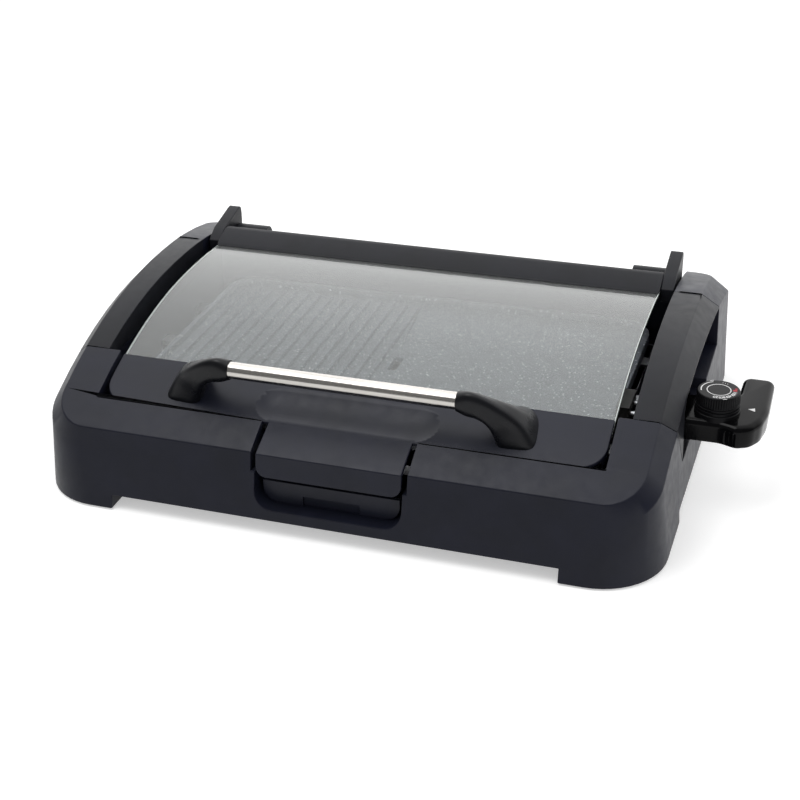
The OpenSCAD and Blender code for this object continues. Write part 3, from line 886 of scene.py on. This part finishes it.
@dataclass
class Knob:
    """A fluted knob on a stepped collar, with a printed dial on its flat top."""

    centre: tuple[float, float] = (283.6, 149.0)
    top: float = 106.3
    flutes: int = 52
    flute_depth: float = 0.5
    points_per_flute: int = 8
    # Radius and height of the knob's profile, and how much of the flutes' depth it has there
    profile: Sequence[tuple[float, float, float]] = (
        (15.4, 94.0, 0), (17.2, 94.0, 0), (17.5, 94.3, 0), (17.5, 95.7, 0), (17.2, 95.9, 0),
        (16.8, 96.1, 0), (16.8, 96.6, 0), (17.2, 96.8, 0), (17.5, 97.0, 0), (17.5, 97.4, 0),
        (17.5, 98.0, 1), (17.4, 101.4, 1), (17.25, 104.6, 1), (17.1, 105.2, 0.7),
        (16.9, 105.7, 0.2), (16.6, 106.05, 0), (16.2, 106.25, 0), (15.7, 106.3, 0),
        (15.3, 106.3, 0), (14.0, 106.3, 0))
    # The collar steps down to the case's sloping top
    collar: Sequence[tuple[float, float]] = (
        (14.0, 85.5), (18.3, 85.5), (18.3, 90.2), (18.0, 90.5), (17.3, 90.7), (17.3, 91.3),
        (17.9, 91.5), (18.0, 91.8), (18.0, 93.2), (17.7, 93.6), (14.0, 93.6))
    hoop: tuple[float, float] = (9.0, 9.7)
    # Printed strokes: inner and outer radius, first and last angle
    strokes: Sequence[tuple[float, float, float, float]] = (
        (13.6, 14.4, 116, 197), (16.0, 16.7, 112, 122), (12.2, 13.2, 84, 82),
        (12.2, 13.2, 75, 73), (12.2, 13.2, 66, 64), (15.9, 16.4, -72, -60))
    red_strokes: Sequence[tuple[float, float, float, float]] = (
        (11.0, 14.2, 2, 14), (13.0, 14.8, 17, 24))
    # What the dial's numbers say, and the angles at which they stand
    numbers: Sequence[tuple[str, float]] = (("100", -15), ("140", -40), ("180", -65),
                                            ("220", -90))
    number_radius: float = 12.6
    number_size: float = 4.3
    number_widened: float = 0.06
    collar_columns: int = 128

    def grip(self) -> Array:
        """Works out the knob: its profile turned, with flutes sunk into the side.

        The radius is r - depth * share * ((1 + cos(n a)) / 2) ^ 2 for n flutes.

        Returns:
            Rings of points in millimetres.
        """
        rows = np.array(self.profile)
        columns = self.flutes * self.points_per_flute
        rings = lathe(rows[:, :2], self.centre, columns)
        angle = np.linspace(0, 2 * math.pi, columns, endpoint=False)
        sunk = self.flute_depth * rows[:, 2:] * ((1 + np.cos(self.flutes * angle)) / 2) ** 2
        rings[..., 0] -= sunk * np.cos(angle)
        rings[..., 1] -= sunk * np.sin(angle)
        return rings

    def number(self, words: str, degrees: float) -> Shell:
        """Makes one number of the dial, its foot towards the knob's middle.

        The flat text is shifted to its own middle, turned by the angle less 90 degrees and
        moved out along the angle.

        Args:
            words: what the number says.
            degrees: its angle on the dial, anticlockwise from +X.

        Returns:
            The number's shell.
        """
        curve = bpy.data.curves.new("dial_number", "FONT")
        curve.body = words
        curve.size = self.number_size
        curve.align_x, curve.align_y = "CENTER", "CENTER"
        curve.extrude = INK_MM
        curve.offset = self.number_widened
        text = into_scene("dial_number", curve)
        bpy.context.view_layer.update()
        mesh = bpy.data.meshes.new_from_object(
            text.evaluated_get(bpy.context.evaluated_depsgraph_get()))
        flat = np.empty(len(mesh.vertices) * 3)
        mesh.vertices.foreach_get("co", flat)
        points = flat.reshape(-1, 3)
        faces = [list(face.vertices) for face in mesh.polygons]
        bpy.data.objects.remove(text)
        bpy.data.meshes.remove(mesh)
        a = math.radians(degrees)
        turn = np.array([[math.sin(a), -math.cos(a), 0], [math.cos(a), math.sin(a), 0],
                         [0, 0, 1]])
        out = (self.centre[0] + self.number_radius * math.cos(a),
               self.centre[1] + self.number_radius * math.sin(a), self.top)
        return Shell(points @ turn + out, faces)

    def printed(self, strokes: Sequence[tuple[float, float, float, float]]) -> list[Shell]:
        """Makes the strokes that lie on the knob's top."""
        face = (*self.centre, self.top)
        return [arc_strip(face, stroke[:2], stroke[2:]) for stroke in strokes]

    def build(self) -> None:
        """Builds knob, collar and print in place of the plain solids."""
        knob = new_piece("knob_grip", Shell.tube(self.grip()), "knob", Finish.DIAL)
        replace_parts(knob, "knob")
        collar = lathe(np.array(self.collar), self.centre, self.collar_columns)
        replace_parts(new_piece("knob_stepped_collar", Shell.tube(collar), "control",
                              Finish.DIAL), "knob_collar")
        white = [*self.printed([(*self.hoop, 0, 360)]), *self.printed(self.strokes),
                 *(self.number(*item) for item in self.numbers)]
        new_piece("dial_print", Shell.joined(white), "knob", Finish.WHITE_PRINT)
        new_piece("dial_red_mark", Shell.joined(self.printed(self.red_strokes)), "knob",
                  Finish.RED_PRINT)


@dataclass
class ThermostatCase:
    """The plug-in control's case: a low block with one leg that runs backwards.

    Its top slopes down to the front, and a wide glossy rounding leads over to the walls.
    """

    # Corners of the plan, anticlockwise: place and radius of the rounding
    corners: Sequence[tuple[float, float, float]] = (
        (254, 129.2, 1.0), (289, 129.6, 22), (302.2, 124.6, 9), (313, 129.4, 16),
        (320.2, 141.5, 26), (323.6, 160, 60), (323.6, 208.3, 7), (298.3, 208.3, 7),
        (297, 178, 10), (289, 171, 8), (254, 171, 1.0))
    points_per_corner: int = 10
    points_per_wall: int = 24
    bottom: float = 68.0
    top_front: float = 86.6
    top_rear: float = 91.4
    rounding: float = 5.2
    rounding_rings: int = 9
    draft: float = 0.9
    # Bottom edge: how far it is further in than the wall, its height and its share of grooves
    foot: Sequence[tuple[float, float, int]] = ((0.6, 0.0, 0), (0.2, 0.2, 0), (0.0, 0.7, 1))
    # Rings of the wall, as shares of its height
    wall: Sequence[float] = (0.35, 0.7, 0.94)
    grooves: Sequence[float] = (293.5, 297.2, 300.6)
    groove_depth: float = 0.9
    groove_half: float = 0.55
    # How far behind the front corner a groove still cuts
    groove_reach: float = 3.0
    pointer: Sequence[tuple[float, float]] = ((307.0, 156.2), (312.9, 153.6), (312.3, 158.6))
    pointer_ink: float = 0.06

    def top(self, y: Array) -> Array:
        """Works out the top's height, which rises evenly from front to rear.

        Args:
            y: places from front to rear.

        Returns:
            The heights there.
        """
        front, rear = self.corners[2][1], self.corners[6][1]
        share = (np.asarray(y, float) - front) / (rear - front)
        return self.top_front + (self.top_rear - self.top_front) * share

    def plan(self, inset: float) -> Array:
        """Works out the plan's outline, moved inwards.

        Each corner is an arc of its radius that touches both walls. Its middle lies at
        corner + s * r * (m + n) / (1 + m.n), with the walls' inward normals m and n, and s 1 at
        an outer and -1 at an inner corner. Moving inwards by d makes the radius r - s * d.

        Args:
            inset: how far it is moved inwards.

        Returns:
            The outline's points in plan, in an order that is the same for every inset.
        """
        spots = np.array(self.corners, float)
        place, radius = spots[:, :2], spots[:, 2:]
        run = np.roll(place, -1, 0) - place
        along = run / np.linalg.norm(run, axis=1, keepdims=True)
        after = np.stack([-along[:, 1], along[:, 0]], 1)
        before = np.roll(after, 1, 0)
        turned = before[:, 0] * after[:, 1] - before[:, 1] * after[:, 0]
        sign = np.sign(turned)[:, None]
        dot = (before * after).sum(1, keepdims=True)
        middle = place + sign * radius * (before + after) / (1 + dot)
        first = np.arctan2(before[:, 1], before[:, 0])[:, None]
        sweep = np.arctan2(turned, dot[:, 0])[:, None]
        angle = (first + sweep * np.linspace(0, 1, self.points_per_corner))[..., None]
        normal = np.concatenate([np.cos(angle), np.sin(angle)], -1)
        reach = (sign * radius - inset)[:, None, :]
        arcs = middle[:, None, :] - reach * normal
        ends = np.roll(arcs, -1, 0)[:, :1]
        share = np.linspace(0, 1, self.points_per_wall + 2)[None, 1:-1, None]
        walls = arcs[:, -1:] * (1 - share) + ends * share
        return np.concatenate([arcs, walls], 1).reshape(-1, 2)

    def rings(self) -> Array:
        """Works out the case's rings from the bottom edge to the edge of the flat top.

        The walls lean inwards to the bottom by the draft. The rounding is a quarter circle:
        inset r(1 - cos a), height top - r(1 - sin a).

        Returns:
            Rings of points in millimetres.
        """
        quarter = np.radians(np.linspace(0, 90, self.rounding_rings))
        rings = [self.ring(self.draft + inset, self.bottom + up, grooved)
                 for inset, up, grooved in self.foot]
        flat = self.plan(0.0)
        brow = self.top(flat[:, 1]) - self.rounding
        for share in self.wall:
            ring = self.ring(self.draft * (1 - share), 0.0, 1)
            ring[:, 2] = self.bottom + (brow - self.bottom) * share
            rings.append(ring)
        for a in quarter:
            ring = self.ring(self.rounding * (1 - math.cos(a)), 0.0, 0)
            ring[:, 2] = self.top(ring[:, 1]) - self.rounding * (1 - math.sin(a))
            rings.append(ring)
        return np.array(rings)

    def ring(self, inset: float, height: float, grooved: int) -> Array:
        """Works out one level ring of the case.

        An upright groove moves the front wall in by depth * exp(-((x - middle) / half)^4).

        Args:
            inset: how far the ring lies inside the plan.
            height: its height.
            grooved: 1 where it has the grooves, and 0 where not.

        Returns:
            The ring's points in millimetres.
        """
        flat = self.plan(inset)
        front = flat[:, 1] < self.corners[0][1] + self.groove_reach
        near = (flat[:, :1] - np.array(self.grooves)) / self.groove_half
        sunk = self.groove_depth * np.exp(-near**4).sum(1) * front * grooved
        return np.column_stack([flat[:, 0], flat[:, 1] + sunk, np.full(len(flat), height)])

    def build(self) -> None:
        """Builds the case in place of cover and base, and prints the pointer on it."""
        case = new_piece("thermostat_case", Shell.tube(self.rings()), "control", Finish.GLOSS)
        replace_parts(case, "control_cover", "control_base")
        plan = np.array(self.pointer)
        height = self.top(plan[:, 1])
        rings = np.array([np.column_stack([plan, height + up])
                          for up in (-self.pointer_ink, self.pointer_ink)])
        new_piece("case_pointer", Shell.tube(rings), "control", Finish.WHITE_PRINT)


@dataclass
class SolidGroup:
    """Solids that show as they are, with a finish and edges rounded as soften() says."""

    finish: Finish
    nodes: tuple[str, ...]
    radius_mm: float = 0.6
    steps: int = 2
    from_deg: float = 28.0
    edge_finish: Finish | None = None
    whole_faces: bool = True

    def build(self, solids: dict[str, bpy.types.Object]) -> None:
        """Dresses each solid of the group.

        Args:
            solids: the frame's solids by name.
        """
        for name in self.nodes:
            dress(solids[name], self.finish)
            if self.edge_finish:
                solids[name].data.materials.append(self.edge_finish.material())
            soften(solids[name], self.radius_mm, self.steps, self.from_deg,
                   self.edge_finish is not None, self.whole_faces)
            LOG.info("%s: %s", name, self.finish.name)


@dataclass(frozen=True)
class Lamp:
    """A square soft lamp, aimed at the grill's middle."""

    name: str
    place: tuple[float, float, float]
    size: float
    power: float
    in_gloss: bool
    aim: tuple[float, float, float] = (0.0, 0.0, 0.06)

    def build(self) -> None:
        """Hangs the lamp, unseen through glass and mirrored only where in_gloss says so."""
        data = bpy.data.lights.new(self.name, "AREA")
        data.size = self.size
        data.energy = self.power
        lamp = into_scene(self.name, data)
        lamp.location = self.place
        sight = Vector(self.aim) - Vector(self.place)
        lamp.rotation_euler = sight.to_track_quat("-Z", "Y").to_euler()
        lamp.visible_glossy = self.in_gloss
        lamp.visible_transmission = False


@dataclass
class Studio:
    """White room and floor, soft lamps and the camera."""

    # Camera: focal length and picture width in pixels, where it looks from and its roll, and
    # its place in metres from the middle of the front edge, as the picture's sight lines say
    focal_px: float = 1500.0
    picture_px: float = 800.0
    sensor_mm: float = 36.0
    azimuth_deg: float = 18.5003
    elevation_deg: float = 28.5001
    roll_deg: float = -1.2502
    distance: float = 1.197225
    across: float = 0.060121
    above: float = 0.116658
    clip: tuple[float, float] = (0.05, 50.0)
    # Light that falls on dull surfaces from all sides
    world_light: float = 0.62
    # What reflections see: dimmest and brightest level, the way to the bright side, and the
    # shares along it between which the level rises
    room_levels: tuple[float, float] = (0.25, 2.0)
    bright_side: tuple[float, float, float] = (0.0, 0.78, 0.63)
    room_rise: tuple[float, float] = (0.05, 0.75)
    # Half the floor's width, its tone, and the glow that brings it up to white
    floor_half: float = 6.0
    floor_tone: float = 0.8
    floor_glow: float = 0.42
    lamps: tuple[Lamp, ...] = (
        Lamp("key", (-0.5, -0.5, 1.9), size=1.1, power=15.0, in_gloss=True),
        Lamp("rear", (0.5, 1.5, 1.3), size=1.0, power=9.0, in_gloss=False),
        Lamp("right", (1.9, 0.0, 0.9), size=0.9, power=7.0, in_gloss=False),
    )

    def camera(self) -> None:
        """Sets the camera where the sight lines of the picture meet.

        The back vector is (sin a cos e, -cos a cos e, sin e). The camera stands at distance
        along it, moved across and above in its own plane, and turned by the roll.
        """
        a, e, roll = (math.radians(v) for v in
                      (self.azimuth_deg, self.elevation_deg, self.roll_deg))
        back = Vector((math.sin(a) * math.cos(e), -math.cos(a) * math.cos(e), math.sin(e)))
        level = Vector((math.cos(a), math.sin(a), 0.0))
        upward = back.cross(level)
        right = level * math.cos(roll) + upward * math.sin(roll)
        up = upward * math.cos(roll) - level * math.sin(roll)
        data = bpy.data.cameras.new("camera")
        data.sensor_width = self.sensor_mm
        data.lens = self.focal_px * self.sensor_mm / self.picture_px
        data.clip_start, data.clip_end = self.clip
        data.dof.use_dof = False
        place = back * self.distance + right * self.across + up * self.above
        place -= Vector(ORIGIN_MM * MM)
        turn = Matrix((right, up, back)).transposed().to_4x4()
        camera = into_scene("camera", data)
        camera.matrix_world = Matrix.Translation(place) @ turn
        bpy.context.scene.camera = camera

    def white_world(self) -> None:
        """Lights evenly and shows as white to the camera and through glass.

        Reflections see a room that is bright above and behind the grill and dim elsewhere. Its
        level rises from the dimmest to the brightest as 3s^2 - 2s^3, where s goes from 0 to 1
        while the sight line's share along bright_side passes from one end of room_rise to the
        other. The black mouldings get their pale tops and dark fronts from it.
        """
        world = bpy.data.worlds.new("white_room")
        bpy.context.scene.world = world
        tree = cleared_tree(world)
        path = add_node(tree, "ShaderNodeLightPath").outputs
        way = add_node(tree, "ShaderNodeTexCoord").outputs["Generated"]
        along = add_node(tree, "ShaderNodeVectorMath", {"operation": "DOT_PRODUCT"}, i0=way,
                         i1=self.bright_side)
        room = add_node(tree, "ShaderNodeMapRange", {"interpolation_type": "SMOOTHSTEP"},
                        Value=along.outputs["Value"], From_Min=self.room_rise[0],
                        From_Max=self.room_rise[1], To_Min=self.room_levels[0],
                        To_Max=self.room_levels[1])
        gloss = add_node(tree, "ShaderNodeMix", Factor=path["Is Glossy Ray"],
                         A=self.world_light, B=room.outputs[0])
        seen = any_of(tree, path["Is Camera Ray"], path["Is Transmission Ray"])
        level = add_node(tree, "ShaderNodeMix", Factor=seen, A=gloss.outputs[0], B=1.0)
        sky = add_node(tree, "ShaderNodeBackground", Color=(1, 1, 1, 1),
                       Strength=level.outputs[0])
        add_node(tree, "ShaderNodeOutputWorld", Surface=sky.outputs[0])

    def floor(self) -> None:
        """Lays the pale floor, which shows as white but for a soft shadow.

        The glow is seen by the camera, by reflections and through glass, but lights nothing.
        """
        half = self.floor_half
        mesh = bpy.data.meshes.new("floor")
        mesh.from_pydata([(-half, -half, 0), (half, -half, 0), (half, half, 0), (-half, half, 0)],
                         [], [(0, 1, 2, 3)])
        floor = into_scene("floor", mesh)
        material = bpy.data.materials.new("floor_white")
        tree = cleared_tree(material)
        path = add_node(tree, "ShaderNodeLightPath").outputs
        matt = add_node(tree, "ShaderNodeBsdfDiffuse", Color=(*[self.floor_tone] * 3, 1))
        glow = add_node(tree, "ShaderNodeEmission", Color=(1, 1, 1, 1),
                        Strength=self.floor_glow)
        both = add_node(tree, "ShaderNodeAddShader", i0=matt.outputs[0], i1=glow.outputs[0])
        seen = any_of(tree, path["Is Camera Ray"], path["Is Glossy Ray"],
                      path["Is Transmission Ray"])
        mixed = add_node(tree, "ShaderNodeMixShader", i0=seen, i1=matt.outputs[0],
                         i2=both.outputs[0])
        add_node(tree, "ShaderNodeOutputMaterial", Surface=mixed.outputs[0])
        mesh.materials.append(material)

    def build(self) -> None:
        """Sets up camera, world, floor and lamps."""
        bpy.context.scene.view_settings.view_transform = "Standard"
        self.camera()
        self.white_world()
        self.floor()
        for lamp in self.lamps:
            lamp.build()


def groups() -> list[SolidGroup]:
    """Lists the solids that show as they are.

    Returns:
        One group for each finish and width of rounding.
    """
    return [
        SolidGroup(Finish.BODY, ("lower_housing",), radius_mm=0.9, from_deg=24),
        SolidGroup(Finish.ARM, ("left_arm", "right_arm"), radius_mm=0.8, from_deg=24,
                   whole_faces=False),
        SolidGroup(Finish.LID, ("lid_panel",), radius_mm=0.9, steps=3),
        SolidGroup(Finish.ARM, ("lid_bar", "lid_ear_left", "lid_ear_right",
                                "hinge_block_left", "hinge_block_right"),
                   radius_mm=0.9, steps=3, from_deg=25),
        SolidGroup(Finish.LID, ("glass_retainer", "drip_tray"), radius_mm=0.5),
        SolidGroup(Finish.RUBBER, ("foot_pads",), radius_mm=0.4),
        SolidGroup(Finish.GLOSS, ("control_nose", "terminal_guard", "handle_plugs"),
                   radius_mm=0.8, steps=3, from_deg=40),
        SolidGroup(Finish.STEEL, ("handle_tube",), radius_mm=0.0),
        SolidGroup(Finish.ZINC, ("housing_screws", "lid_screws", "control_screws", "hinge_pins",
                                 "terminal_pins", "knob_shaft", "probe"), radius_mm=0.25),
        SolidGroup(Finish.PLATED, ("reflector_pan", "plate_brackets"), radius_mm=0.3),
        SolidGroup(Finish.BRASS, ("contact_sleeves",), radius_mm=0.15),
        SolidGroup(Finish.SHEATH, ("heating_element",), radius_mm=0.0),
        SolidGroup(Finish.HEATPROOF, ("terminal_block",)),
        SolidGroup(Finish.STONE, ("cooking_plate",), radius_mm=0.8, steps=3, whole_faces=False),
        SolidGroup(Finish.GLASS, ("lid_glass",), radius_mm=0.7, edge_finish=Finish.GLASS_EDGE,
                   whole_faces=False),
    ]


def main() -> None:
    """Builds the grill's looks round the frame."""
    logging.basicConfig(level=logging.INFO, format="%(message)s")
    for obj in list(bpy.data.objects):
        bpy.data.objects.remove(obj)
    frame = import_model()
    Studio().build()
    for group in groups():
        group.build(frame["nodes"])
    HandleBracket("handle_foot_right", "handle_bracket_right", 1).build()
    HandleBracket("handle_foot_left", "handle_bracket_left", -1).build()
    ThermostatCase().build()
    Knob().build()


if __name__ == "__main__":
    main()
